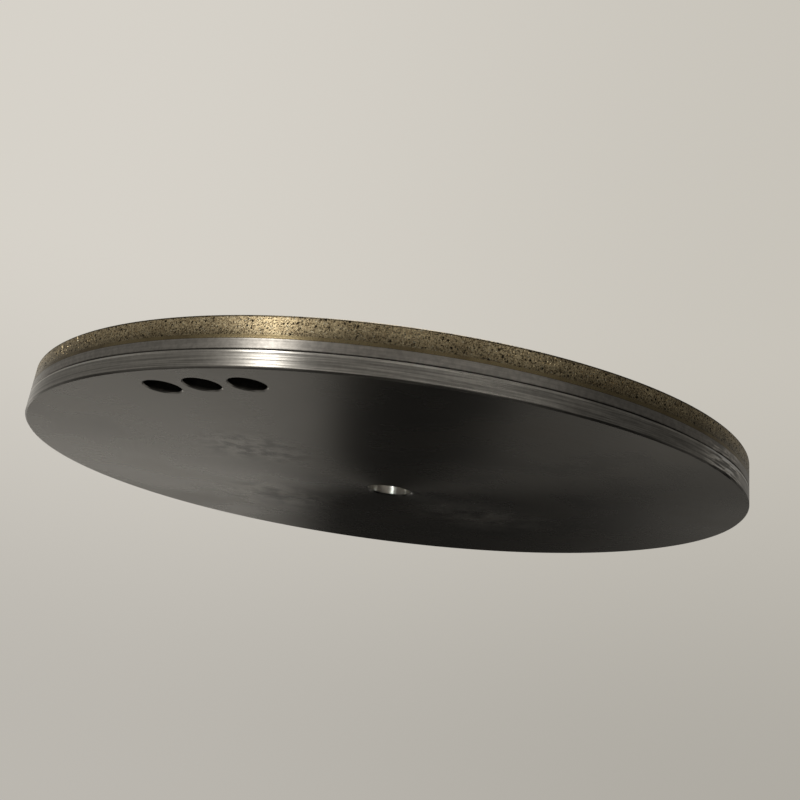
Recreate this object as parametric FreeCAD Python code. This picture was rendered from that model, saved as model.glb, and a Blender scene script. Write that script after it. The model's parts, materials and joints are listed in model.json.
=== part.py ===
import FreeCAD, Part
import math
import os

# Flat lap disc with a sintered diamond layer, in millimetres.
# The origin is the centre of the back face on the bore's axis, and +Z points to the working face.
# The disc is four bonded layers: base plate, carrier plate, plain bronze, diamond bronze.

# Overall
disc_diameter = 200.0
bore_diameter = 12.7

# Layers, from the back to the working face
base_thickness = 4.0
carrier_thickness = 2.2
plain_bronze_thickness = 0.8
diamond_thickness = 4.1

# Clamping recess: the bronze is an annulus, and the bare steel inside it is faced a little lower
recess_diameter = 45.0
land_facing_depth = 0.3

# Corner bevels, all at 45 degrees
back_corner_bevel = 0.4
joint_bevel = 0.2
face_corner_bevel = 0.15
recess_corner_bevel = 0.6
bore_mouth_bevel = 0.5

# Balance holes, drilled from the back in an arc beside the edge
balance_hole_diameter = 8.0
balance_hole_count = 3
balance_hole_spacing = 10.7
balance_hole_edge_distance = 9.4
balance_hole_bearing = 245.7
balance_hole_mouth_bevel = 0.25
drill_point_angle = 118.0
drill_tip_wall = 0.8

# Places that follow from the sizes
disc_radius = disc_diameter / 2
bore_radius = bore_diameter / 2
recess_radius = recess_diameter / 2
carrier_seat = base_thickness
bronze_seat = carrier_seat + carrier_thickness
diamond_seat = bronze_seat + plain_bronze_thickness
working_face = diamond_seat + diamond_thickness
land_level = bronze_seat - land_facing_depth

axis_base = FreeCAD.Vector(0, 0, 0)
axis_up = FreeCAD.Vector(0, 0, 1)


def turned(section):
    """A solid of revolution about the disc's axis, from the corners (radius, height) of a half section."""
    corners = [FreeCAD.Vector(radius, 0, height) for radius, height in section]
    outline = Part.makePolygon(corners + corners[:1])
    return Part.Face(outline).revolve(axis_base, axis_up, 360)


def make_base_plate():
    """The back plate: bevelled back corner, bevelled joint lip and a bevelled bore mouth."""
    return turned([
        (bore_radius + bore_mouth_bevel, 0),
        (disc_radius - back_corner_bevel, 0),
        (disc_radius, back_corner_bevel),
        (disc_radius, carrier_seat - joint_bevel),
        (disc_radius - joint_bevel, carrier_seat),
        (bore_radius, carrier_seat),
        (bore_radius, bore_mouth_bevel),
    ])


def make_carrier_plate():
    """The plate under the bronze: bevelled joint lip, and a hub land faced below the bronze's seat."""
    return turned([
        (bore_radius, carrier_seat),
        (disc_radius - joint_bevel, carrier_seat),
        (disc_radius, carrier_seat + joint_bevel),
        (disc_radius, bronze_seat),
        (recess_radius, bronze_seat),
        (recess_radius, land_level),
        (bore_radius + bore_mouth_bevel, land_level),
        (bore_radius, land_level - bore_mouth_bevel),
    ])


def make_plain_bronze_ring():
    """The bronze without diamond that was sintered onto the carrier plate."""
    return turned([
        (recess_radius, bronze_seat),
        (disc_radius, bronze_seat),
        (disc_radius, diamond_seat),
        (recess_radius, diamond_seat),
    ])


def make_diamond_ring():
    """The working layer, bevelled at its outer corner and at the mouth of the clamping recess."""
    return turned([
        (recess_radius, diamond_seat),
        (disc_radius, diamond_seat),
        (disc_radius, working_face - face_corner_bevel),
        (disc_radius - face_corner_bevel, working_face),
        (recess_radius + recess_corner_bevel, working_face),
        (recess_radius, working_face - recess_corner_bevel),
    ])


def make_drill_cut():
    """The space that one balance hole takes: bevelled mouth, straight wall and conical drill tip."""
    radius = balance_hole_diameter / 2
    tip_level = bronze_seat - drill_tip_wall
    shoulder_level = tip_level - radius / math.tan(math.radians(drill_point_angle / 2))
    mouth_radius = radius + balance_hole_mouth_bevel
    start_level = -balance_hole_mouth_bevel
    return turned([
        (0, start_level),
        (mouth_radius - start_level, start_level),
        (radius, balance_hole_mouth_bevel),
        (radius, shoulder_level),
        (0, tip_level),
    ])


def place_drill_cuts():
    """The balance holes' cuts, spread evenly to both sides of their bearing on one pitch circle."""
    pitch_radius = disc_radius - balance_hole_edge_distance
    pitch_angle = math.degrees(balance_hole_spacing / pitch_radius)
    first_bearing = balance_hole_bearing - pitch_angle * (balance_hole_count - 1) / 2
    cuts = []
    for index in range(balance_hole_count):
        cut = make_drill_cut()
        cut.translate(FreeCAD.Vector(pitch_radius, 0, 0))
        cut.rotate(axis_base, axis_up, first_bearing + pitch_angle * index)
        cuts.append(cut)
    return cuts


drill_cuts = place_drill_cuts()
pieces = {
    "base_plate": make_base_plate().cut(drill_cuts),
    "carrier_plate": make_carrier_plate().cut(drill_cuts),
    "plain_bronze_ring": make_plain_bronze_ring(),
    "diamond_ring": make_diamond_ring(),
}

os.makedirs("parts", exist_ok=True)
for name, shape in pieces.items():
    shape.exportStep("parts/" + name + ".step")
    print(name, "volume", round(shape.Volume, 1), "solids", len(shape.Solids), "valid", shape.isValid())
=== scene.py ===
import json
import logging
import math
import random
from collections.abc import Callable
from dataclasses import dataclass
from enum import Enum

import bmesh
import bpy
from mathutils import Matrix, Vector

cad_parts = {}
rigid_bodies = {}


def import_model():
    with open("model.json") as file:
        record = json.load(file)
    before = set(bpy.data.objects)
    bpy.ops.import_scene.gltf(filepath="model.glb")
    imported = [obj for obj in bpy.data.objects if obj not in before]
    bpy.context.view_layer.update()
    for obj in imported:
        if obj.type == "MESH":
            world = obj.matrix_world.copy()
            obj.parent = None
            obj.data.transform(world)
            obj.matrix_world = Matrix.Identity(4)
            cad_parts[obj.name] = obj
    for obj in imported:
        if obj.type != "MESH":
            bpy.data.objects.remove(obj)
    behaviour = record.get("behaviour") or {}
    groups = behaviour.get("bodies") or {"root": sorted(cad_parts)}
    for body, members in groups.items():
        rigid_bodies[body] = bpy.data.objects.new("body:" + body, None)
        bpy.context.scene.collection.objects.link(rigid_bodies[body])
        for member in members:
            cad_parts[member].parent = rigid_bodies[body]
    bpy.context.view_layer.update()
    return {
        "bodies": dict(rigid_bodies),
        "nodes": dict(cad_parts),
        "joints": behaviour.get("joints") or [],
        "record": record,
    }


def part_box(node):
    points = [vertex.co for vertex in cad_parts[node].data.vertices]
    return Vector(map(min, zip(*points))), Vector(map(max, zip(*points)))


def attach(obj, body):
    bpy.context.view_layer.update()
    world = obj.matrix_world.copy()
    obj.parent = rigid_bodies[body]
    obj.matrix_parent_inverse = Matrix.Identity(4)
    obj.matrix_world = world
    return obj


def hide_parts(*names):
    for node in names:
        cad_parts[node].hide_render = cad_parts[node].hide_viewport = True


LOG = logging.getLogger("lap_disc")
MM = 0.001
FULL_TURN = 2.0 * math.pi
QUARTER_TURN = math.pi / 2.0
ORIGIN = (0.0, 0.0, 0.0)
BORE_AXIS = (0.0, 0.0, 1.0)
STRETCH_TURN = 0.25
SHEEN_STREAK_BEARING = math.radians(-39.0)

Pair = tuple[float, float]
Triple = tuple[float, float, float]
Socket = bpy.types.NodeSocket
Node = bpy.types.Node
Piece = bpy.types.Object
Inputs = dict[str | int, object]
VertexTest = Callable[[Vector], bool]


class Slot(Enum):
    """The record's material slots."""

    BASE_STEEL = "base_steel"
    CARRIER_STEEL = "carrier_steel"
    PLAIN_BRONZE = "plain_bronze"
    DIAMOND_BRONZE = "diamond_bronze"


class Corner(Enum):
    """The four corners of a half section, as (outer side, upper side)."""

    INNER_LOW = (False, False)
    INNER_HIGH = (False, True)
    OUTER_LOW = (True, False)
    OUTER_HIGH = (True, True)


class NodeSheet:
    """A short way to lay out one node tree."""

    def __init__(self, tree: bpy.types.NodeTree) -> None:
        """Starts an empty sheet.

        Args:
            tree: the node tree to fill, which is cleared first.
        """
        self.tree = tree
        tree.nodes.clear()

    def add(self, kind: str, inputs: Inputs | None = None, **settings: object) -> Node:
        """Adds one node.

        Args:
            kind: the node's type name without its "ShaderNode" prefix.
            inputs: what its inputs get.
            settings: the node's own properties.

        Returns:
            The new node.
        """
        node = self.tree.nodes.new("ShaderNode" + kind)
        for name, value in settings.items():
            setattr(node, name, value)
        self.fill(node, inputs or {})
        return node

    def fill(self, node: Node, inputs: Inputs) -> None:
        """Gives inputs of a node their constants, or links output sockets to them.

        Args:
            node: the node.
            inputs: an output socket, a number or a tuple, by the input's name or number.
        """
        for key, value in inputs.items():
            socket = node.inputs[key]
            if isinstance(value, bpy.types.NodeSocket):
                self.tree.links.new(value, socket)
            elif socket.type == "RGBA":
                socket.default_value = (*value, 1.0)
            else:
                socket.default_value = value

    def math(self, operation: str, first: object, second: object = 0.0) -> Socket:
        """Adds a Math node and gives its result."""
        return self.add("Math", {0: first, 1: second}, operation=operation).outputs[0]

    def plus(self, first: object, second: object) -> Socket:
        """Adds two numbers."""
        return self.math("ADD", first, second)

    def less(self, first: object, second: object) -> Socket:
        """Takes the second number from the first."""
        return self.math("SUBTRACT", first, second)

    def times(self, first: object, second: object) -> Socket:
        """Multiplies two numbers."""
        return self.math("MULTIPLY", first, second)

    def masked(self, tone: Socket, mask: Socket) -> Socket:
        """Gives a tone where a mask is 1, and 1 where it is 0."""
        return self.plus(1.0, self.times(self.less(tone, 1.0), mask))

    def ramp(self, value: object, low: float, high: float, at_low: float = 0.0,
             at_high: float = 1.0) -> Socket:
        """Maps a value smoothly from one range, low to high, to another, at_low to at_high."""
        inputs = {"Value": value, "From Min": low, "From Max": high, "To Min": at_low, "To Max": at_high}
        return self.add("MapRange", inputs, interpolation_type="SMOOTHSTEP").outputs["Result"]

    def blend(self, mask: Socket, outside: float, inside: float) -> Socket:
        """Gives one number where a mask is 0 and another where it is 1."""
        return self.ramp(mask, 0.0, 1.0, outside, inside)

    def window(self, value: object, low: float, high: float, soft: float) -> Socket:
        """Gives 1 between two limits and 0 beyond them, with soft sides.

        Args:
            value: the value to test.
            low: the lower limit.
            high: the upper limit.
            soft: the width over which each side fades.

        Returns:
            The result's socket.
        """
        rise = self.ramp(value, low - soft / 2.0, low + soft / 2.0)
        fall = self.ramp(value, high - soft / 2.0, high + soft / 2.0, 1.0, 0.0)
        return self.times(rise, fall)

    def mix(self, share: object, first: object, second: object, blend: str = "MIX") -> Socket:
        """Mixes two colours, of which the second shows at share 1."""
        inputs = {0: share, 6: first, 7: second}
        return self.add("Mix", inputs, data_type="RGBA", blend_type=blend, clamp_factor=True).outputs[2]

    def scaled(self, colour: object, factor: Socket) -> Socket:
        """Multiplies a colour by a number."""
        grey = self.add("CombineColor", {channel: factor for channel in range(3)})
        return self.mix(1.0, colour, grey.outputs[0], "MULTIPLY")

    def mix_shaders(self, share: Socket, first: Node, second: Node) -> Socket:
        """Mixes two shaders, of which the second shows at share 1."""
        return self.add("MixShader", {0: share, 1: first.outputs[0], 2: second.outputs[0]}).outputs[0]

    def vector(self, operation: str, first: object, second: object) -> Node:
        """Adds a Vector Math node, whose result depends on its operation."""
        return self.add("VectorMath", {0: first, 1: second}, operation=operation)

    def noise(self, place: Socket, size: float, detail: float = 3.0, roughness: float = 0.6) -> Socket:
        """Adds soft noise, about 0.5 on average, with blotches of one size and finer layers in them."""
        inputs = {"Vector": place, "Scale": 1.0 / size, "Detail": detail, "Roughness": roughness}
        return self.add("TexNoise", inputs).outputs["Fac"]


class CellPattern:
    """A pattern of cells, for grains and pores, in which each cell has three random numbers from 0 to 1."""

    def __init__(self, sheet: NodeSheet, place: Socket, size: float) -> None:
        """Lays out the pattern.

        Args:
            sheet: the material's node sheet.
            place: where it is read.
            size: a cell's width.
        """
        self.sheet = sheet
        cells = sheet.add("TexVoronoi", {"Vector": place, "Scale": 1.0 / size}, voronoi_dimensions="3D")
        self.distance = cells.outputs["Distance"]
        self.draws = sheet.add("SeparateColor", {0: cells.outputs["Color"]}).outputs

    def spots(self, draw: int, chosen: Pair, reach: Pair) -> Socket:
        """Gives 1 in the middle of the cells whose draw lies past a limit, and 0 beyond a reach."""
        fade = self.sheet.ramp(self.distance, *reach, 1.0, 0.0)
        return self.sheet.times(self.sheet.ramp(self.draws[draw], *chosen), fade)


class TurnedPlace:
    """Coordinates that suit a turned surface, read from the piece's own Object coordinates."""

    FLATTEN = (1.0, 1.0, 0.0)
    SECOND_DRIFT = 0.7

    def __init__(self, sheet: NodeSheet) -> None:
        """Lays out the coordinates.

        Args:
            sheet: the material's node sheet.
        """
        self.sheet = sheet
        self.point = sheet.add("TexCoord").outputs["Object"]
        self.x, self.y, self.z = sheet.add("SeparateXYZ", {0: self.point}).outputs
        square = sheet.plus(sheet.math("POWER", self.x, 2.0), sheet.math("POWER", self.y, 2.0))
        self.radius = sheet.math("SQRT", square)

    def along_tool_marks(self) -> Socket:
        """Returns the unit direction round the axis, which is the way that the tool marks run."""
        across = self.sheet.vector("CROSS_PRODUCT", BORE_AXIS, self.point)
        return self.sheet.vector("NORMALIZE", across.outputs[0], ORIGIN).outputs[0]

    def ring_point(self, drift: float) -> Socket:
        """Gives a point that hardly moves round the disc, so that noise read there makes rings and streaks.

        Args:
            drift: how much of the way round is kept, which lets a streak fade in and out.

        Returns:
            The point's socket: radius, height, and a little of the way round.
        """
        sheet = self.sheet
        way_round = sheet.plus(sheet.times(self.x, drift), sheet.times(self.y, drift * self.SECOND_DRIFT))
        return sheet.add("CombineXYZ", {0: self.radius, 1: self.z, 2: way_round}).outputs[0]

    def near(self, middle: Pair, core: float, reach: float) -> Socket:
        """Gives 1 round a spot and 0 away from it, as seen along the axis.

        Args:
            middle: the spot.
            core: up to which distance it is 1.
            reach: from which distance it is 0.

        Returns:
            The result's socket.
        """
        flat = self.sheet.vector("MULTIPLY", self.point, self.FLATTEN).outputs[0]
        distance = self.sheet.vector("DISTANCE", flat, (*middle, 0.0)).outputs["Value"]
        return self.sheet.ramp(distance, core, reach, 1.0, 0.0)


def turned_metal(name: str, metal: float, stretch: float) -> tuple[bpy.types.Material, TurnedPlace, Node]:
    """Makes a metal whose highlights stretch across its tool marks.

    Args:
        name: the material's name.
        metal: how far it shines as metal does, and not as a dull powder.
        stretch: how far the marks stretch a highlight.

    Returns:
        The material, its coordinates and its shader.
    """
    material = bpy.data.materials.new(name)
    material.use_nodes = True
    sheet = NodeSheet(material.node_tree)
    place = TurnedPlace(sheet)
    shader = sheet.add("BsdfPrincipled", {
        "Metallic": metal, "Anisotropic": stretch, "Anisotropic Rotation": STRETCH_TURN,
        "Tangent": place.along_tool_marks()})
    sheet.add("OutputMaterial", {"Surface": shader.outputs[0]})
    return material, place, shader


def bumped(sheet: NodeSheet, height: Socket, depth: float | Socket, under: Socket | None = None) -> Socket:
    """Adds relief to a surface.

    Args:
        sheet: the material's node sheet.
        height: the relief, from 0 to 1.
        depth: the height in metres that 1 stands for.
        under: the normal of coarser relief below it.

    Returns:
        The normal's socket.
    """
    node = sheet.add("Bump", {"Height": height, "Distance": depth, "Strength": 1.0})
    if under is not None:
        sheet.fill(node, {"Normal": under})
    return node.outputs[0]


@dataclass(frozen=True)
class EdgeLine:
    """A thin line round a turned wall: grime in a joint, a painted highlight line or a band of painted
    shade.

    The tone is what it multiplies the colour by, and the reach is how far it spreads to each side.
    """

    level: float
    reach: float
    tone: float

    CORE = 0.4

    def over(self, place: TurnedPlace) -> Socket:
        """Returns the line's tone, which is 1 away from the line."""
        sheet = place.sheet
        distance = sheet.math("ABSOLUTE", sheet.less(place.z, self.level))
        return sheet.ramp(distance, self.reach * self.CORE, self.reach, self.tone, 1.0)


@dataclass(frozen=True)
class ScuffAndSheen:
    """Short streaks on a turned wall: darker rubbed streaks and lighter ones that are painted highlights.

    The tones are what its darkest and its lightest streak multiply the colour by.
    """

    bearing: float
    radius: float
    reach: float
    tones: Pair

    CORE = 0.3
    STREAK = 0.55 * MM
    DRIFT = 0.07
    STREAK_SPAN = (0.42, 0.62)

    def over(self, place: TurnedPlace) -> Socket:
        """Returns the streaks' tone, which is 1 away from the spot."""
        sheet = place.sheet
        middle = (self.radius * math.cos(self.bearing), self.radius * math.sin(self.bearing))
        streaks = sheet.noise(place.ring_point(self.DRIFT), self.STREAK, 2.0)
        near = place.near(middle, self.reach * self.CORE, self.reach)
        return sheet.masked(sheet.ramp(streaks, *self.STREAK_SPAN, *self.tones), near)


@dataclass(frozen=True)
class SmudgeAndPaintedLight:
    """A faint cloud of flecks, used for stains where a surface was touched or wiped and for painted shade
    and reflections.

    The tones are what its darkest and its lightest fleck multiply the colour by.
    """

    middle: Pair
    reach: float
    fleck: float
    tones: Pair

    CORE = 0.2
    FLECK_SPAN = (0.40, 0.62)

    def over(self, place: TurnedPlace) -> Socket:
        """Returns the cloud's tone, which is 1 away from it."""
        sheet = place.sheet
        near = place.near(self.middle, self.reach * self.CORE, self.reach)
        flecks = sheet.noise(place.point, self.fleck)
        return sheet.masked(sheet.ramp(flecks, *self.FLECK_SPAN, *self.tones), near)


@dataclass(frozen=True)
class TurnedSteel:
    """Bare steel with tool marks that run round the axis.

    A mark is given by its width and height. The coarse marks show as streaks, with a darkest and a
    lightest tone. The hole ring is where the balance holes lie, whose walls get painted shade. The
    chatter is how far the outer wall's colour varies over about a millimetre.
    """

    name: str
    colour: Triple
    stain: Triple
    wall_roughness: float
    face_roughness: float
    bore_radius: float
    stretch: float
    fine_mark: Pair
    coarse_mark: Pair
    streak_tones: Pair
    wall_start: float
    hole_ring: Pair
    lines: tuple[EdgeLine, ...] = ()
    scuffs_and_sheens: tuple[ScuffAndSheen, ...] = ()
    smudges_and_painted_light: tuple[SmudgeAndPaintedLight, ...] = ()
    chatter: float = 0.05

    BORE_ROUGHNESS = 0.33
    FINE_DRIFT = 0.02
    COARSE_DRIFT = 0.028
    STREAK_SPAN = (0.34, 0.66)
    FACE_STREAKS = 0.1
    FACE_RELIEF = 0.02
    CHATTER_WIDTH = 1.1 * MM
    CLOUD_WIDTH = 30.0 * MM
    CLOUD_ROUGHNESS = (0.25, 0.75, 0.92, 1.10)
    STAINS = (0.5, 0.72)
    STAIN_SHARE = 0.3
    FLECK_WIDTH = 4.0 * MM
    FLECKS = (0.60, 0.80, 1.0, 0.93)
    BRUSHED = (0.08, 0.6)
    WALL_SOFT = 0.05 * MM
    BORE_FADE = (0.1 * MM, 0.3 * MM)
    HOLE_SOFT = 0.2 * MM
    HOLE_FADE = (0.2 * MM, 1.0 * MM)
    MOUTH = (0.05 * MM, 0.6 * MM)
    MOUTH_SOFT = 0.06 * MM
    MOUTH_SHADE = 0.8
    HOLE_SHADE_TONE = 0.25

    def painted_hole_shade(self, place: TurnedPlace) -> Socket:
        """Returns where shade is painted: 1 in the balance holes, less at the bore's mouth, 0 elsewhere."""
        sheet = place.sheet
        holes = sheet.window(place.radius, *self.hole_ring, self.HOLE_SOFT)
        drilled = sheet.times(holes, sheet.ramp(place.z, *self.HOLE_FADE))
        start, end = (self.bore_radius + offset for offset in self.MOUTH)
        mouth = sheet.window(place.radius, start, end, self.MOUTH_SOFT)
        return sheet.math("MAXIMUM", drilled, sheet.times(mouth, self.MOUTH_SHADE))

    def tone(self, place: TurnedPlace, coarse: Socket, wall: Socket) -> Socket:
        """Works out what the colour is multiplied by.

        Args:
            place: the coordinates.
            coarse: the coarse marks' noise.
            wall: 1 on the outer wall and 0 elsewhere.

        Returns:
            The tone's socket.
        """
        sheet = place.sheet
        streaks = sheet.ramp(coarse, *self.STREAK_SPAN, *self.streak_tones)
        tone = sheet.masked(streaks, sheet.blend(wall, self.FACE_STREAKS, 1.0))
        flecks = sheet.noise(place.point, self.FLECK_WIDTH, 3.0, 0.65)
        tone = sheet.times(tone, sheet.ramp(flecks, *self.FLECKS))
        # Clouds of flecks: stains, and on the base plate one painted reflection.
        for tone_cloud in self.smudges_and_painted_light:
            tone = sheet.times(tone, tone_cloud.over(place))
        ripple = sheet.noise(place.point, self.CHATTER_WIDTH, 2.0)
        swing = sheet.times(sheet.ramp(ripple, 0.35, 0.65, -self.chatter, self.chatter), wall)
        tone = sheet.times(tone, sheet.plus(1.0, swing))
        # Lines and streaks on the outer wall: joint grime, painted highlights and painted shade.
        for mark in (*self.lines, *self.scuffs_and_sheens):
            tone = sheet.times(tone, sheet.masked(mark.over(place), wall))
        # Painted shade in the balance holes and at the bore's mouth.
        return sheet.times(tone, sheet.blend(self.painted_hole_shade(place), 1.0, self.HOLE_SHADE_TONE))

    def material(self) -> bpy.types.Material:
        """Builds the steel's material."""
        material, place, shader = turned_metal(self.name, 1.0, self.stretch)
        sheet = place.sheet
        wall = sheet.ramp(place.radius, self.wall_start - self.WALL_SOFT, self.wall_start + self.WALL_SOFT)
        fine = sheet.noise(place.ring_point(self.FINE_DRIFT), self.fine_mark[0])
        coarse = sheet.noise(place.ring_point(self.COARSE_DRIFT), self.coarse_mark[0], 2.0)
        cloud = sheet.noise(place.point, self.CLOUD_WIDTH, 4.0, 0.55)
        stained = sheet.times(sheet.ramp(cloud, *self.STAINS), self.STAIN_SHARE)
        colour = sheet.mix(stained, self.colour, self.stain)

        start, end = (self.bore_radius + offset for offset in self.BORE_FADE)
        in_bore = sheet.ramp(place.radius, start, end, 1.0, 0.0)
        roughness = sheet.plus(sheet.blend(wall, self.face_roughness, self.wall_roughness),
                               sheet.times(in_bore, self.BORE_ROUGHNESS - self.face_roughness))
        brushed = sheet.times(sheet.less(fine, 0.5), sheet.blend(wall, *self.BRUSHED))
        uneven = sheet.plus(sheet.ramp(cloud, *self.CLOUD_ROUGHNESS), brushed)

        relief = None
        for (_, height), marks in ((self.coarse_mark, coarse), (self.fine_mark, fine)):
            relief = bumped(sheet, marks, sheet.blend(wall, self.FACE_RELIEF * height, height), relief)
        sheet.fill(shader, {"Base Color": sheet.scaled(colour, self.tone(place, coarse, wall)),
                            "Roughness": sheet.times(roughness, uneven), "Normal": relief})
        return material


@dataclass(frozen=True)
class PlainBronze:
    """The turned strip of bronze that holds no diamond.

    The tarnish is the colour of its darker patches, and the seam is the line where it meets the steel.
    """

    name: str
    colour: Triple
    tarnish: Triple
    seam: Triple
    seam_level: float
    seam_width: float
    roughness: float
    metal: float

    STRETCH = 0.5
    MARK = (0.12 * MM, 0.006 * MM)
    MARK_DRIFT = 0.01
    GRAIN = (0.35 * MM, 0.012 * MM)
    PATCH_WIDTH = 9.0 * MM
    PATCHES = (0.42, 0.68)
    DARK_GRAINS = (0.55, 0.75, 0.0, 0.35)
    SEAM_SHARE = 0.8
    ROUGHNESS_SWING = (0.85, 1.2)

    def material(self) -> bpy.types.Material:
        """Builds the plain bronze's material."""
        material, place, shader = turned_metal(self.name, self.metal, self.STRETCH)
        sheet = place.sheet
        fine = sheet.noise(place.ring_point(self.MARK_DRIFT), self.MARK[0])
        grain = sheet.noise(place.point, self.GRAIN[0], 2.0)
        patches = sheet.ramp(sheet.noise(place.point, self.PATCH_WIDTH), *self.PATCHES)
        colour = sheet.mix(patches, self.colour, self.tarnish)
        colour = sheet.mix(sheet.ramp(grain, *self.DARK_GRAINS), colour, self.tarnish)
        ragged = sheet.plus(place.z, sheet.times(grain, self.seam_width))
        seam = sheet.ramp(ragged, self.seam_level + self.seam_width, self.seam_level + 2.0 * self.seam_width,
                          self.SEAM_SHARE, 0.0)
        relief = bumped(sheet, grain, self.GRAIN[1])
        smooth, rough = (self.roughness * factor for factor in self.ROUGHNESS_SWING)
        sheet.fill(shader, {"Base Color": sheet.mix(seam, colour, self.seam),
                            "Roughness": sheet.ramp(grain, 0.3, 0.7, smooth, rough),
                            "Normal": bumped(sheet, fine, self.MARK[1], relief)})
        return material


@dataclass(frozen=True)
class SinteredBronze:
    """Sintered bronze with open pores and grit, ground to size.

    The pore and the grit are colours: inside a pore, near-black as painted shade, and of a crystal that
    shows. The corner is the radius and the level where the outer corner's painted shade starts. Its
    clouds of flecks are painted shade on the outer wall.
    """

    name: str
    colour: Triple
    brown: Triple
    pore: Triple
    grit: Triple
    grain: float
    relief: float
    roughness: float
    metal: float
    levels: Pair
    corner: Pair
    smudges_and_painted_light: tuple[SmudgeAndPaintedLight, ...] = ()

    STRETCH = 0.5
    PORES = ((0.60, 0.66), (0.22, 0.40))
    PIN_HOLES = ((0.80, 0.84), (0.25, 0.42))
    GAPS = ((0.74, 0.76), (0.20, 0.38))
    CRYSTALS = ((0.86, 0.90), (0.30, 0.42))
    BROWN_PATCHES = (0.40, 0.66, 0.0, 0.4)
    BROWN_GRAINS = (0.30, 0.80, 0.0, 0.85)
    DARK_MOTTLE = (0.54, 0.62, 0.0, 0.9)
    GRAIN_HEIGHT = 0.4
    MOTTLE_HEIGHT = 0.6
    ROUGHNESS_SWING = (0.8, 1.2)
    WARP_WIDTH = 1.3
    WARP = 1.5
    PATCH_WIDTH = 14.0 * MM
    MOTTLE_WIDTH = 0.30 * MM
    PORE_SIZE = 1.7
    GAP_SIZE = 3.0
    WAVE = (5.0 * MM, 0.9 * MM)
    RING_DRIFT = 0.003
    RING_WIDTH = 0.9 * MM
    RINGS = (0.3, 0.7, 0.92, 1.04)
    DARK_START = 0.1 * MM
    DARK_SHARE = 0.65
    DARK_TONE = 0.52
    DENSE_SHARE = 0.5
    DENSE_ROUGHNESS = 0.78
    HOLLOW_ROUGHNESS = 0.3
    WALL_FADE = 0.1 * MM
    CORNER_FADE = (0.32 * MM, 0.10 * MM)
    CORNER_SHADE_TONE = 0.25

    def tone(self, place: TurnedPlace) -> Socket:
        """Works out what the colour is multiplied by: it darkens towards the steel and at the outer corner.

        Args:
            place: the coordinates.

        Returns:
            The tone's socket.
        """
        sheet = place.sheet
        low, high = self.levels
        radius, level = self.corner
        wavy = sheet.less(sheet.noise(place.point, self.WAVE[0]), 0.5)
        depth = sheet.plus(place.z, sheet.times(wavy, self.WAVE[1]))
        clear = low + self.DARK_SHARE * (high - low)
        tone = sheet.ramp(depth, low - self.DARK_START, clear, self.DARK_TONE, 1.0)
        rings = sheet.noise(place.ring_point(self.RING_DRIFT), self.RING_WIDTH)
        tone = sheet.times(tone, sheet.ramp(rings, *self.RINGS))
        outer = sheet.ramp(place.radius, radius - self.WALL_FADE, radius)
        # Painted shade on the outer wall, from the clouds of flecks.
        for tone_cloud in self.smudges_and_painted_light:
            tone = sheet.times(tone, sheet.masked(tone_cloud.over(place), outer))
        # Painted shade on the outer top corner.
        upper = sheet.ramp(place.z, *(level - distance for distance in self.CORNER_FADE))
        return sheet.times(tone, sheet.blend(sheet.times(outer, upper), 1.0, self.CORNER_SHADE_TONE))

    def material(self) -> bpy.types.Material:
        """Builds the sintered bronze's material."""
        material, place, shader = turned_metal(self.name, self.metal, self.STRETCH)
        sheet = place.sheet
        warp = sheet.add("TexNoise", {"Vector": place.point, "Scale": 1.0 / (self.grain * self.WARP_WIDTH)})
        nudge = sheet.add("VectorMath", {0: warp.outputs["Color"], "Scale": self.grain * self.WARP},
                          operation="SCALE")
        bent = sheet.vector("ADD", place.point, nudge.outputs[0]).outputs[0]
        grains = CellPattern(sheet, bent, self.grain)
        pores = CellPattern(sheet, bent, self.grain * self.PORE_SIZE)
        gaps = CellPattern(sheet, bent, self.grain * self.GAP_SIZE)
        hollow = sheet.math("MAXIMUM", pores.spots(0, *self.PORES), grains.spots(0, *self.PIN_HOLES))
        hollow = sheet.math("MAXIMUM", gaps.spots(0, *self.GAPS), hollow)
        crystals = grains.spots(1, *self.CRYSTALS)
        patches = sheet.noise(place.point, self.PATCH_WIDTH)
        mottle = sheet.noise(place.point, self.MOTTLE_WIDTH, 2.0, 0.7)

        colour = sheet.mix(sheet.ramp(patches, *self.BROWN_PATCHES), self.colour, self.brown)
        colour = sheet.mix(sheet.ramp(grains.draws[2], *self.BROWN_GRAINS), colour, self.brown)
        colour = sheet.mix(sheet.ramp(mottle, *self.DARK_MOTTLE), colour, self.pore)
        colour = sheet.mix(crystals, colour, self.grit)
        # Painted shade: the pores are coloured near-black.
        colour = sheet.mix(hollow, colour, self.pore)

        low, high = self.levels
        dense = sheet.ramp(place.z, low, low + self.DENSE_SHARE * (high - low), self.DENSE_ROUGHNESS, 1.0)
        uneven = sheet.blend(grains.draws[1], *(self.roughness * factor for factor in self.ROUGHNESS_SWING))
        rough = sheet.times(uneven, dense)
        swell = sheet.plus(sheet.times(grains.draws[2], self.GRAIN_HEIGHT),
                           sheet.times(mottle, self.MOTTLE_HEIGHT))
        sheet.fill(shader, {"Base Color": sheet.scaled(colour, self.tone(place)),
                            "Roughness": sheet.plus(rough, sheet.times(hollow, self.HOLLOW_ROUGHNESS)),
                            "Normal": bumped(sheet, sheet.less(swell, hollow), self.relief)})
        return material


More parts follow.
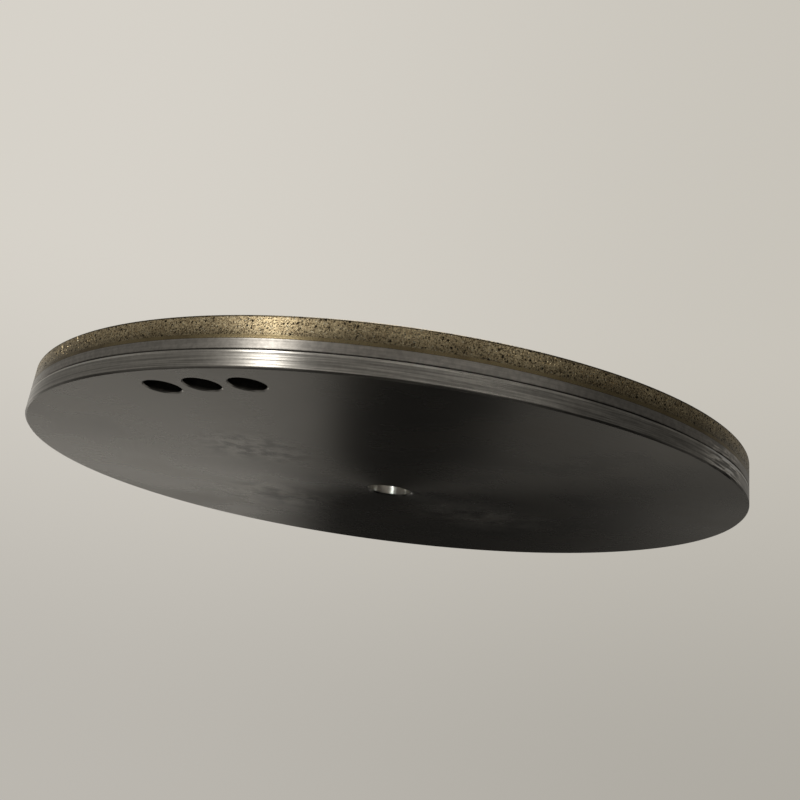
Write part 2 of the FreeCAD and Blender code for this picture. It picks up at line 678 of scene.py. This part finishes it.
@dataclass
class DiscSizes:
    """The disc's sizes in metres: levels as (low, high), bevels by the length of their legs.

    The levels, the rim and the bore come from the frame. The rest are the part's own values.
    """

    base: Pair
    carrier: Pair
    strip: Pair
    layer: Pair
    rim: float
    bore: float
    recess: float = 22.5 * MM
    land_facing: float = 0.3 * MM
    back_bevel: float = 0.4 * MM
    joint_bevel: float = 0.2 * MM
    face_bevel: float = 0.15 * MM
    recess_bevel: float = 0.6 * MM
    bore_bevel: float = 0.5 * MM

    @classmethod
    def from_frame(cls, frame: dict) -> "DiscSizes":
        """Reads the levels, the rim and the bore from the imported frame.


        Returns:
            The disc's sizes.
        """
        boxes = {name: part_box(name) for name in frame["nodes"]}
        levels = {name: (low.z, high.z) for name, (low, high) in boxes.items()}
        reach = min(min(-low.x, -low.y, high.x, high.y) for low, high in boxes.values())
        bore = next(mount for mount in frame["record"]["mounts"] if mount["kind"] == "bore")
        return cls(levels["base_plate"], levels["carrier_plate"], levels["plain_bronze_ring"],
                   levels["diamond_ring"], reach, bore["dims"]["r_mm"] * MM)


def deselect_all() -> None:
    """Leaves nothing selected and nothing active, in object mode."""
    if bpy.context.object is not None and bpy.context.object.mode != "OBJECT":
        bpy.ops.object.mode_set(mode="OBJECT")
    bpy.ops.object.select_all(action="DESELECT")
    bpy.context.view_layer.objects.active = None


def make_active(piece: Piece) -> None:
    """Selects one object alone.

    Args:
        piece: the object.
    """
    deselect_all()
    piece.select_set(True)
    bpy.context.view_layer.objects.active = piece


def select_vertices(piece: Piece, test: VertexTest) -> int:
    """Selects the vertices at given places, in edit mode, with the edges and faces between them.

    Args:
        piece: the object in edit mode.
        test: tells from a vertex's place whether it is wanted.

    Returns:
        How many were selected.
    """
    bpy.ops.mesh.select_all(action="DESELECT")
    bpy.ops.mesh.select_mode(type="VERT")
    mesh = bmesh.from_edit_mesh(piece.data)
    count = 0
    for vertex in mesh.verts:
        if test(vertex.co):
            vertex.select_set(True)
            count += 1
    mesh.select_flush(True)
    bmesh.update_edit_mesh(piece.data)
    return count


class Lathe:
    """Turns one piece: its half section is cut from a flat face and then spun about the bore's axis."""

    SNAP = 1.0e-6
    DOUBLINGS = 4

    def __init__(self, name: str, radii: Pair, levels: Pair) -> None:
        """Lays the blank half section, a rectangle in the XZ plane.

        Args:
            name: the piece's name.
            radii: the inner and outer radius.
            levels: the lowest and highest level.
        """
        self.radii = radii
        self.levels = levels
        deselect_all()
        bpy.ops.mesh.primitive_plane_add(size=1.0, location=ORIGIN, rotation=(QUARTER_TURN, 0.0, 0.0))
        self.piece = bpy.context.object
        self.piece.name = name
        self.piece.data.name = name
        bpy.ops.object.transform_apply(location=False, rotation=True, scale=False)
        bpy.ops.object.mode_set(mode="EDIT")
        bpy.ops.mesh.select_all(action="SELECT")
        bpy.ops.transform.resize(value=(radii[1] - radii[0], 1.0, levels[1] - levels[0]))
        bpy.ops.transform.translate(value=(sum(radii) / 2.0, 0.0, sum(levels) / 2.0))

    def cut_corner(self, test: VertexTest, leg: float) -> None:
        """Cuts the corners that pass a test at 45 degrees, with a bevel of a given leg."""
        select_vertices(self.piece, test)
        bpy.ops.mesh.bevel(offset_type="OFFSET", offset=leg, segments=1, affect="VERTICES")

    def bevel(self, corner: Corner, leg: float) -> None:
        """Bevels a corner of the blank section.

        Args:
            corner: which corner.
            leg: the bevel's size along each side.
        """
        outer, upper = corner.value
        radius = self.radii[int(outer)]
        level = self.levels[int(upper)]
        self.cut_corner(lambda place: max(abs(place.x - radius), abs(place.z - level)) < self.SNAP, leg)

    def divide(self, test: VertexTest, cuts: int) -> None:
        """Divides the stretches of the outline whose ends both pass a test.

        Args:
            test: tells from a vertex's place whether it ends such a stretch.
            cuts: how many new points each stretch gets.
        """
        select_vertices(self.piece, test)
        bpy.ops.mesh.select_mode(type="EDGE")
        bpy.ops.mesh.subdivide(number_cuts=cuts)

    def press(self, test: VertexTest, depth: float) -> None:
        """Moves some points of the outline inwards, for a groove.

        Args:
            test: tells from a vertex's place whether it moves.
            depth: how far it moves.
        """
        if select_vertices(self.piece, test):
            bpy.ops.transform.translate(value=(-depth, 0.0, 0.0))

    def spin(self, steps: int) -> Piece:
        """Spins the outline through a sector, doubles the sector up to a full turn and closes the seams.

        Args:
            steps: how many faces go round, a multiple of 2 to the power of DOUBLINGS.

        Returns:
            The turned piece, in object mode.
        """
        sectors = 2 ** self.DOUBLINGS
        bpy.ops.mesh.select_all(action="SELECT")
        bpy.ops.mesh.delete(type="ONLY_FACE")
        bpy.ops.mesh.select_all(action="SELECT")
        bpy.ops.mesh.spin(steps=steps // sectors, dupli=False, angle=FULL_TURN / sectors, center=ORIGIN,
                          axis=BORE_AXIS)
        while sectors > 1:
            bpy.ops.mesh.select_all(action="SELECT")
            bpy.ops.mesh.duplicate()
            bpy.ops.transform.rotate(value=FULL_TURN / sectors, orient_axis="Z", orient_type="GLOBAL",
                                     center_override=ORIGIN)
            sectors //= 2
        bpy.ops.mesh.select_all(action="SELECT")
        bpy.ops.mesh.remove_doubles(threshold=self.SNAP)
        bpy.ops.mesh.normals_make_consistent(inside=False)
        bpy.ops.object.mode_set(mode="OBJECT")
        return self.piece


@dataclass(frozen=True)
class ToolMarks:
    """Grooves that a turning tool leaves on a wall, in the outline itself.

    The depths go from the shallow and common to the deep and rare. The share is how many of the cuts
    get a groove of the first depth.
    """

    cuts: int
    depths: tuple[float, ...]
    seed: int
    share: float = 0.42

    DEEPEST = 0.2 * MM

    def press_into(self, lathe: Lathe, radius: float, low: float, high: float) -> None:
        """Divides a wall and presses the grooves into it.

        Args:
            lathe: the lathe with the half section.
            radius: the wall's radius.
            low: the wall's lowest level.
            high: the wall's highest level.
        """
        snap = lathe.SNAP
        lathe.divide(lambda place: abs(place.x - radius) < snap and low - snap < place.z < high + snap,
                     self.cuts)
        pitch = (high - low) / (self.cuts + 1)
        chance = random.Random(self.seed)
        for order, depth in enumerate(self.depths):
            rows = {row for row in range(1, self.cuts + 1) if chance.random() < self.share / (order + 1)}
            lathe.press(lambda place: place.x > radius - self.DEEPEST and low + snap < place.z < high - snap
                        and round((place.z - low) / pitch) in rows, depth)


@dataclass
class BalanceHoles:
    """Three blind holes, drilled from the back in an arc beside the rim.

    The spacing runs along the arc, and the bearing is the middle hole's.
    """

    disc: DiscSizes
    radius: float = 4.0 * MM
    count: int = 3
    spacing: float = 10.7 * MM
    rim_distance: float = 9.4 * MM
    bearing: float = math.radians(245.7)
    mouth_bevel: float = 0.25 * MM
    point_angle: float = math.radians(118.0)
    tip_wall: float = 0.8 * MM
    sides: int = 72

    RING_MARGIN = 0.5 * MM

    def pitch_radius(self) -> float:
        """Returns the radius on which the holes' axes lie."""
        return self.disc.rim - self.rim_distance

    def ring(self) -> Pair:
        """Returns the radii between which the holes lie."""
        reach = self.radius + self.RING_MARGIN
        return self.pitch_radius() - reach, self.pitch_radius() + reach

    def drill(self, index: int) -> Piece:
        """Shapes the space that one hole takes.

        Args:
            index: which hole, from 0.

        Returns:
            The cutter, in place.
        """
        point_height = self.radius / math.tan(self.point_angle / 2.0)
        shoulder = self.disc.carrier[1] - self.tip_wall - point_height
        low = self.mouth_bevel
        deselect_all()
        bpy.ops.mesh.primitive_cylinder_add(vertices=self.sides, radius=self.radius, depth=shoulder - low,
                                            location=ORIGIN)
        cutter = bpy.context.object
        bpy.ops.object.mode_set(mode="EDIT")
        bpy.ops.mesh.select_all(action="SELECT")
        bpy.ops.transform.translate(value=(0.0, 0.0, (shoulder + low) / 2.0))
        select_vertices(cutter, lambda place: place.z > shoulder - Lathe.SNAP)
        bpy.ops.mesh.extrude_region_move(TRANSFORM_OT_translate={"value": (0.0, 0.0, point_height)})
        bpy.ops.mesh.merge(type="CENTER")
        select_vertices(cutter, lambda place: place.z < low + Lathe.SNAP)
        drop = 2.0 * self.mouth_bevel
        flare = 1.0 + drop / self.radius
        bpy.ops.mesh.extrude_region_move(TRANSFORM_OT_translate={"value": (0.0, 0.0, -drop)})
        bpy.ops.transform.resize(value=(flare, flare, 1.0))
        bpy.ops.mesh.select_all(action="SELECT")
        bpy.ops.mesh.normals_make_consistent(inside=False)
        reach = self.pitch_radius()
        angle = self.bearing + (index - (self.count - 1) / 2.0) * self.spacing / reach
        bpy.ops.transform.translate(value=(reach * math.cos(angle), reach * math.sin(angle), 0.0))
        bpy.ops.object.mode_set(mode="OBJECT")
        return cutter

    def cut_from(self, piece: Piece) -> None:
        """Drills every hole in a piece.

        Args:
            piece: the piece to drill.
        """
        cutters = [self.drill(index) for index in range(self.count)]
        make_active(cutters[0])
        for cutter in cutters:
            cutter.select_set(True)
        bpy.ops.object.join()
        make_active(piece)
        modifier = piece.modifiers.new("drill", "BOOLEAN")
        modifier.operation = "DIFFERENCE"
        modifier.solver = "EXACT"
        modifier.object = cutters[0]
        bpy.ops.object.modifier_apply(modifier=modifier.name)
        bpy.data.objects.remove(cutters[0], do_unlink=True)


def settle(piece: Piece, material: bpy.types.Material, node: str) -> None:
    """Finishes a piece: shading, finish, and its place in the frame.

    Args:
        piece: the finished mesh.
        material: its finish.
        node: the node that it stands for.
    """
    make_active(piece)
    bpy.ops.object.shade_smooth_by_angle(angle=math.radians(30.0))
    piece.data.materials.clear()
    piece.data.materials.append(material)
    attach(piece, "root")
    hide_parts(node)
    triangles = sum(len(face.vertices) - 2 for face in piece.data.polygons)
    LOG.info("%s: %d triangles, stands for %s", piece.name, triangles, node)


@dataclass
class TurnedPiece:
    """A piece of the disc that is turned on the lathe, with a number of flat steps round it."""

    disc: DiscSizes
    steps: int = 720


@dataclass
class BasePlate(TurnedPiece):
    """The steel back plate: ground back, bevelled corners, coarse-turned wall and balance holes."""

    marks: ToolMarks = ToolMarks(23, (0.008 * MM, 0.012 * MM, 0.016 * MM), 11)

    def finish(self) -> TurnedSteel:
        """Gives the plate's finish: joint grime, and painted highlight lines under it and above the back."""
        disc = self.disc
        back, joint = disc.base
        return TurnedSteel(
            name="base_steel_turned", colour=(0.50, 0.485, 0.455), stain=(0.40, 0.37, 0.33),
            wall_roughness=0.30, face_roughness=0.27, bore_radius=disc.bore, stretch=0.7,
            fine_mark=(0.16 * MM, 0.0015 * MM), coarse_mark=(0.42 * MM, 0.005 * MM),
            streak_tones=(0.66, 1.16), wall_start=disc.rim - disc.back_bevel,
            hole_ring=BalanceHoles(disc).ring(),
            # Joint grime, painted highlight lines under it and above the back, and painted shade on the back
            # bevel.
            lines=(EdgeLine(joint, 0.20 * MM, 0.14), EdgeLine(joint - 0.42 * MM, 0.24 * MM, 1.8),
                   EdgeLine(back + 0.62 * MM, 0.15 * MM, 1.25), EdgeLine(back + 0.12 * MM, 0.34 * MM, 0.60)),
            # Streaks on the rim's right-hand side: darker rubbed ones and lighter painted highlights.
            scuffs_and_sheens=(ScuffAndSheen(SHEEN_STREAK_BEARING, disc.rim, 14.0 * MM, (0.40, 2.6)),),
            # Stains on the back; the third cloud only lightens, a painted reflection.
            smudges_and_painted_light=(SmudgeAndPaintedLight((-35.0 * MM, -32.0 * MM), 20.0 * MM, 4.4 * MM, (1.22, 0.55)),
                     SmudgeAndPaintedLight((-35.0 * MM, 30.0 * MM), 28.0 * MM, 9.0 * MM, (1.30, 0.50)),
                     SmudgeAndPaintedLight((29.0 * MM, 25.0 * MM), 30.0 * MM, 12.0 * MM, (1.90, 1.0))))

    def build(self) -> Piece:
        """Turns the plate and drills it."""
        disc = self.disc
        back, joint = disc.base
        lathe = Lathe("base_plate_turned", (disc.bore, disc.rim), disc.base)
        lathe.bevel(Corner.INNER_LOW, disc.bore_bevel)
        lathe.bevel(Corner.OUTER_LOW, disc.back_bevel)
        lathe.bevel(Corner.OUTER_HIGH, disc.joint_bevel)
        self.marks.press_into(lathe, disc.rim, back + disc.back_bevel, joint - disc.joint_bevel)
        plate = lathe.spin(self.steps)
        BalanceHoles(disc).cut_from(plate)
        settle(plate, self.finish().material(), "base_plate")
        return plate


@dataclass
class CarrierPlate(TurnedPiece):
    """The thinner steel plate that the bronze sits on, with a bare land round the bore."""

    marks: ToolMarks = ToolMarks(15, (0.002 * MM, 0.003 * MM, 0.004 * MM), 23)

    def finish(self) -> TurnedSteel:
        """Gives the plate's finish, with grime in the joint."""
        disc = self.disc
        return TurnedSteel(
            name="carrier_steel_turned", colour=(0.46, 0.44, 0.41), stain=(0.38, 0.34, 0.30),
            wall_roughness=0.32, face_roughness=0.30, bore_radius=disc.bore, stretch=0.6,
            fine_mark=(0.12 * MM, 0.0012 * MM), coarse_mark=(0.4 * MM, 0.002 * MM),
            streak_tones=(0.88, 1.05), wall_start=disc.rim - disc.joint_bevel,
            hole_ring=BalanceHoles(disc).ring(),
            lines=(EdgeLine(disc.carrier[0], 0.12 * MM, 0.15),),
            # Streaks on the rim's right-hand side: darker rubbed ones and lighter painted highlights.
            scuffs_and_sheens=(ScuffAndSheen(SHEEN_STREAK_BEARING, disc.rim, 13.0 * MM, (0.65, 1.9)),), chatter=0.11)

    def build(self) -> Piece:
        """Turns the plate, faces its land and drills the balance holes' tips."""
        disc = self.disc
        lathe = Lathe("carrier_plate_turned", (disc.bore, disc.rim), disc.carrier)
        lathe.bevel(Corner.OUTER_LOW, disc.joint_bevel)
        self.face_land(lathe)
        self.marks.press_into(lathe, disc.rim, disc.carrier[0] + disc.joint_bevel, disc.carrier[1])
        plate = lathe.spin(self.steps)
        BalanceHoles(disc).cut_from(plate)
        settle(plate, self.finish().material(), "carrier_plate")
        return plate

    def face_land(self, lathe: Lathe) -> None:
        """Cuts the land round the bore a little below the bronze's seat, with a bevelled bore mouth.

        Args:
            lathe: the lathe with the plate's half section.
        """
        disc = self.disc
        inner = disc.recess + lathe.SNAP
        land = disc.carrier[1] - disc.land_facing
        above = land - lathe.SNAP
        bpy.ops.mesh.select_all(action="SELECT")
        bpy.ops.mesh.bisect(plane_co=(disc.recess, 0.0, 0.0), plane_no=(1.0, 0.0, 0.0))
        select_vertices(lathe.piece, lambda place: place.x < inner)
        bpy.ops.mesh.bisect(plane_co=(0.0, 0.0, land), plane_no=BORE_AXIS)
        select_vertices(lathe.piece, lambda place: place.x < inner and place.z > above)
        bpy.ops.mesh.delete(type="FACE")
        lathe.cut_corner(lambda place: place.x < disc.bore + lathe.SNAP and place.z > above, disc.bore_bevel)
        bpy.ops.mesh.select_all(action="SELECT")
        bpy.ops.mesh.dissolve_faces()


@dataclass
class PlainBronzeRing(TurnedPiece):
    """The strip of plain bronze between the steel and the diamond layer."""

    marks: ToolMarks = ToolMarks(8, (0.003 * MM, 0.004 * MM), 37)

    def finish(self) -> PlainBronze:
        """Gives the strip's finish."""
        return PlainBronze("plain_bronze_turned", colour=(0.31, 0.25, 0.14), tarnish=(0.20, 0.155, 0.085),
                           seam=(0.06, 0.04, 0.022), seam_level=self.disc.strip[0], seam_width=0.08 * MM,
                           roughness=0.30, metal=0.92)

    def build(self) -> Piece:
        """Turns the strip."""
        disc = self.disc
        lathe = Lathe("plain_bronze_strip", (disc.recess, disc.rim), disc.strip)
        self.marks.press_into(lathe, disc.rim, *disc.strip)
        ring = lathe.spin(self.steps)
        settle(ring, self.finish().material(), "plain_bronze_ring")
        return ring


@dataclass(frozen=True)
class PoreKind:
    """One size of pore in the sintered wall.

    The share is how many of the wall's faces hold one, and the margin how far its edge lies inside.
    """

    share: float
    margin: float
    depth: float


@dataclass
class DiamondRing(TurnedPiece):
    """The sintered diamond layer, with real pores in its ground wall.

    The pore margins are how far the pores stay from the wall's lower and upper edge.
    """

    steps: int = 2000
    wall_cuts: int = 14
    face_cuts: int = 10
    pore_kinds: tuple[PoreKind, ...] = (PoreKind(0.030, 0.02 * MM, 0.10 * MM),
                                        PoreKind(0.045, 0.08 * MM, 0.07 * MM))
    pore_margins: Pair = (0.15 * MM, 0.05 * MM)
    seed: int = 5

    WALL_TOLERANCE = 0.01 * MM

    def finish(self) -> SinteredBronze:
        """Gives the layer's finish."""
        disc = self.disc
        return SinteredBronze(
            name="sintered_bronze", colour=(0.97, 0.812, 0.51), brown=(0.50, 0.387, 0.228),
            pore=(0.036, 0.026, 0.016), grit=(0.95, 0.90, 0.70), grain=0.30 * MM, relief=0.0045 * MM,
            roughness=0.33, metal=0.92, levels=disc.layer,
            corner=(disc.rim - disc.face_bevel, disc.layer[1] - disc.face_bevel),
            # Painted shade on the right-hand side of the outer wall.
            smudges_and_painted_light=(SmudgeAndPaintedLight((80.0 * MM, -60.0 * MM), 48.0 * MM, 9.0 * MM, (0.80, 0.55)),
                     SmudgeAndPaintedLight((28.0 * MM, -96.0 * MM), 30.0 * MM, 9.0 * MM, (0.88, 0.74))))

    def build(self) -> Piece:
        """Turns the layer and opens its pores."""
        disc = self.disc
        lathe = Lathe("diamond_layer", (disc.recess, disc.rim), disc.layer)
        lathe.bevel(Corner.OUTER_HIGH, disc.face_bevel)
        lathe.bevel(Corner.INNER_HIGH, disc.recess_bevel)
        lathe.divide(lambda place: place.x > disc.rim - lathe.SNAP, self.wall_cuts)
        lathe.divide(lambda place: place.z > disc.layer[1] - lathe.SNAP, self.face_cuts)
        ring = lathe.spin(self.steps)
        self.open_pores(ring)
        settle(ring, self.finish().material(), "diamond_ring")
        return ring

    def wall_faces(self, mesh: bmesh.types.BMesh) -> list[bmesh.types.BMFace]:
        """Lists the outer wall's faces that may hold a pore, row by row and then round the disc.

        Args:
            mesh: the layer's mesh.

        Returns:
            The faces, in an order that is the same in each run, unlike the mesh's own.
        """
        start, end = self.disc.layer[0], self.disc.layer[1] - self.disc.face_bevel
        low, high = start + self.pore_margins[0], end - self.pore_margins[1]
        pitch = (end - start) / (self.wall_cuts + 1)
        places = {}
        for face in mesh.faces:
            middle = face.calc_center_median()
            if middle.xy.length > self.disc.rim - self.WALL_TOLERANCE and low < middle.z < high:
                places[face] = (int((middle.z - start) / pitch), math.atan2(middle.y, middle.x))
        return sorted(places, key=places.get)

    def open_pores(self, ring: Piece) -> None:
        """Sinks pores into faces of the outer wall that are chosen by chance.

        Args:
            ring: the turned layer.
        """
        chance = random.Random(self.seed)
        make_active(ring)
        bpy.ops.object.mode_set(mode="EDIT")
        for kind in self.pore_kinds:
            bpy.ops.mesh.select_mode(type="FACE")
            bpy.ops.mesh.select_all(action="DESELECT")
            mesh = bmesh.from_edit_mesh(ring.data)
            for face in self.wall_faces(mesh):
                if chance.random() < kind.share:
                    face.select_set(True)
            bmesh.update_edit_mesh(ring.data)
            bpy.ops.mesh.inset(thickness=kind.margin, use_individual=True)
            bpy.ops.transform.shrink_fatten(value=-kind.depth)
        bpy.ops.object.mode_set(mode="OBJECT")


@dataclass(frozen=True)
class Lamp:
    """One soft lamp, with its width and height in metres and its power in watts.

    With a cone it is a narrow beam of that angle.
    """

    name: str
    place: Triple
    aim: Triple
    size: Pair
    power: float
    colour: Triple = (1.0, 0.965, 0.91)
    cone: float | None = None

    CONE_BLEND = 0.4

    def hang(self) -> Piece:
        """Makes the lamp."""
        if self.cone is None:
            light = bpy.data.lights.new(self.name, "AREA")
            light.shape = "RECTANGLE"
            light.size, light.size_y = self.size
        else:
            light = bpy.data.lights.new(self.name, "SPOT")
            light.spot_size = self.cone
            light.spot_blend = self.CONE_BLEND
            light.shadow_soft_size = self.size[0] / 2.0
        light.energy = self.power
        light.color = self.colour
        lamp = bpy.data.objects.new(self.name, light)
        bpy.context.scene.collection.objects.link(lamp)
        lamp.location = self.place
        towards = Vector(self.aim) - Vector(self.place)
        lamp.rotation_euler = towards.to_track_quat("-Z", "Y").to_euler()
        return lamp


@dataclass(frozen=True)
class RoomPatch:
    """A lighter stretch of the room, as the disc's metal sees it.

    The bearings, to the right of straight ahead, and the heights are (from, to) in degrees. Soft is
    over how many degrees its sides and its ends fade.
    """

    bearings: Pair
    heights: Pair
    soft: Pair
    level: float

    def over(self, sheet: NodeSheet, bearing: Socket, height: Socket) -> Socket:
        """Lays the patch out.

        Args:
            sheet: the world's node sheet.
            bearing: the bearing in degrees.
            height: the elevation in degrees.

        Returns:
            The patch's brightness at that place.
        """
        across = sheet.window(bearing, *self.bearings, self.soft[0])
        upright = sheet.window(height, *self.heights, self.soft[1])
        return sheet.times(sheet.times(across, upright), self.level)


@dataclass
class Studio:
    """The floor, the light and the camera.

    Heights and bearings of the background and the room are given in degrees, as (from, to).
    """

    pale_left: Triple = (0.675, 0.643, 0.585)
    pale_right: Triple = (0.575, 0.547, 0.490)
    pale_sides: Pair = (-0.45, 0.45)
    low_shade: float = 0.74
    low_shade_heights: Pair = (-5.0, 24.0)
    low_shade_bearings: Triple = (-70.0, 70.0, 30.0)
    room_tint: Triple = (1.0, 0.955, 0.875)
    room_shade: float = 0.008
    patches: tuple[RoomPatch, ...] = (
        # Above the horizon, and low down at the sides
        RoomPatch((-400.0, 400.0), (2.0, 120.0), (1.0, 16.0), 0.07),
        RoomPatch((-400.0, 71.0), (0.0, 120.0), (26.0, 14.0), 0.10),
        RoomPatch((130.0, 400.0), (0.0, 120.0), (30.0, 14.0), 0.10),
        RoomPatch((-400.0, -80.0), (-62.0, -10.0), (20.0, 8.0), 0.18),
        RoomPatch((118.0, 400.0), (-62.0, -10.0), (20.0, 8.0), 0.18),
        RoomPatch((-45.0, 21.0), (6.0, 60.0), (22.0, 8.0), 0.35),
        RoomPatch((135.0, 175.0), (0.0, 60.0), (20.0, 14.0), 0.05),
        # Low down ahead, where the flat back mirrors them
        RoomPatch((-66.0, -9.3), (-8.7, -0.5), (8.0, 2.5), 0.80),
        RoomPatch((-66.0, -7.4), (-37.0, -12.4), (3.0, 2.5), 0.163),
        RoomPatch((-11.0, 50.0), (-20.6, -4.6), (6.0, 3.0), 0.0032),
        RoomPatch((16.6, 26.2), (-39.4, -19.3), (9.5, 3.3), 0.138),
        RoomPatch((17.0, 50.0), (-11.9, -5.8), (16.0, 2.5), 0.205),
        RoomPatch((6.8, 68.0), (-44.0, -25.2), (3.0, 14.0), 0.22),
    )
    floor_drop: float = 0.2 * MM
    floor_fade: Pair = (0.25, 1.0)
    floor_colour: Triple = (0.66, 0.635, 0.60)
    lens_mm: float = 38.66
    camera_place: Triple = (0.01073, -0.25043, -0.05155)
    camera_lift: float = math.radians(19.13)
    camera_roll: float = math.radians(7.03)
    camera_shift: Pair = (-0.0489, -0.0213)
    lamps: tuple[Lamp, ...] = (
        Lamp("key", (-0.437, -0.661, 0.10), (0.0, -0.05, 0.0), (0.10, 0.14), 0.9),
        Lamp("snoot", (-0.157, -0.600, 0.315), (0.0, 0.0, 0.003), (0.04, 0.04), 60.0, (0.93, 1.0, 0.97),
             math.radians(1.1)),
        Lamp("overhead", (0.0, 0.0, 1.25), ORIGIN, (0.8, 0.8), 13.0),
    )

    def lay_floor(self) -> Piece:
        """Lays a pale floor that shows from above only and fades into the background."""
        deselect_all()
        bpy.ops.mesh.primitive_circle_add(vertices=96, radius=self.floor_fade[1] * 1.1, fill_type="NGON",
                                          location=(0.0, 0.0, -self.floor_drop))
        floor = bpy.context.object
        floor.name = "floor"
        floor.data.materials.append(self.floor_material())
        return floor

    def floor_material(self) -> bpy.types.Material:
        """Builds the floor's finish."""
        material = bpy.data.materials.new("floor_pale")
        material.use_nodes = True
        sheet = NodeSheet(material.node_tree)
        front = sheet.less(1.0, sheet.add("NewGeometry").outputs["Backfacing"])
        seen = sheet.times(sheet.add("LightPath").outputs["Is Camera Ray"], front)
        near = sheet.ramp(TurnedPlace(sheet).radius, *self.floor_fade, 1.0, 0.0)
        matte = sheet.add("BsdfDiffuse", {"Color": self.floor_colour})
        surface = sheet.mix_shaders(sheet.times(seen, near), sheet.add("BsdfTransparent"), matte)
        sheet.add("OutputMaterial", {"Surface": surface})
        return material

    def light_world(self) -> None:
        """Gives the world a pale background for the camera and a room of soft patches for the rest."""
        world = bpy.data.worlds.new("soft_room")
        bpy.context.scene.world = world
        world.use_nodes = True
        sheet = NodeSheet(world.node_tree)
        across, along, up = sheet.add("SeparateXYZ", {0: sheet.add("TexCoord").outputs["Generated"]}).outputs
        bearing = sheet.times(sheet.math("ARCTAN2", across, along), math.degrees(1.0))
        height = sheet.times(sheet.math("ARCSINE", up), math.degrees(1.0))
        level: Socket | float = self.room_shade
        for patch in self.patches:
            level = sheet.plus(level, patch.over(sheet, bearing, height))
        room = sheet.add("Background", {"Color": self.room_tint, "Strength": level})

        # The background is painted lighter on the left than on the right and darker low down ahead: painted
        # light and shade.
        low = sheet.ramp(height, *self.low_shade_heights, self.low_shade - 1.0, 0.0)
        shade = sheet.plus(1.0, sheet.times(low, sheet.window(bearing, *self.low_shade_bearings)))
        side = sheet.mix(sheet.ramp(across, *self.pale_sides), self.pale_left, self.pale_right)
        pale = sheet.add("Background", {"Color": sheet.scaled(side, shade), "Strength": 1.0})
        surface = sheet.mix_shaders(sheet.add("LightPath").outputs["Is Camera Ray"], room, pale)
        sheet.add("OutputWorld", {"Surface": surface})

    def place_camera(self) -> Piece:
        """Places the camera, which looks up at the back from just below it."""
        data = bpy.data.cameras.new("camera")
        data.lens = self.lens_mm
        data.sensor_width = 36.0
        data.shift_x, data.shift_y = self.camera_shift
        data.clip_start = 0.01
        data.clip_end = 50.0
        camera = bpy.data.objects.new("camera", data)
        bpy.context.scene.collection.objects.link(camera)
        lift = Matrix.Rotation(QUARTER_TURN + self.camera_lift, 4, "X")
        roll = Matrix.Rotation(self.camera_roll, 4, "Z")
        camera.matrix_world = Matrix.Translation(self.camera_place) @ lift @ roll
        bpy.context.scene.camera = camera
        return camera

    def build(self) -> None:
        """Sets up the floor, the lamps, the world and the camera."""
        self.lay_floor()
        for lamp in self.lamps:
            lamp.hang()
        self.light_world()
        self.place_camera()
        bpy.context.scene.view_settings.view_transform = "Standard"


def main() -> None:
    """Builds the disc piece by piece, then the studio round it."""
    logging.basicConfig(level=logging.INFO, format="%(asctime)s %(name)s: %(message)s")
    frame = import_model()
    disc = DiscSizes.from_frame(frame)
    for part in (BasePlate(disc), CarrierPlate(disc), PlainBronzeRing(disc), DiamondRing(disc)):
        part.build()
    Studio().build()


if __name__ == "__main__":
    main()
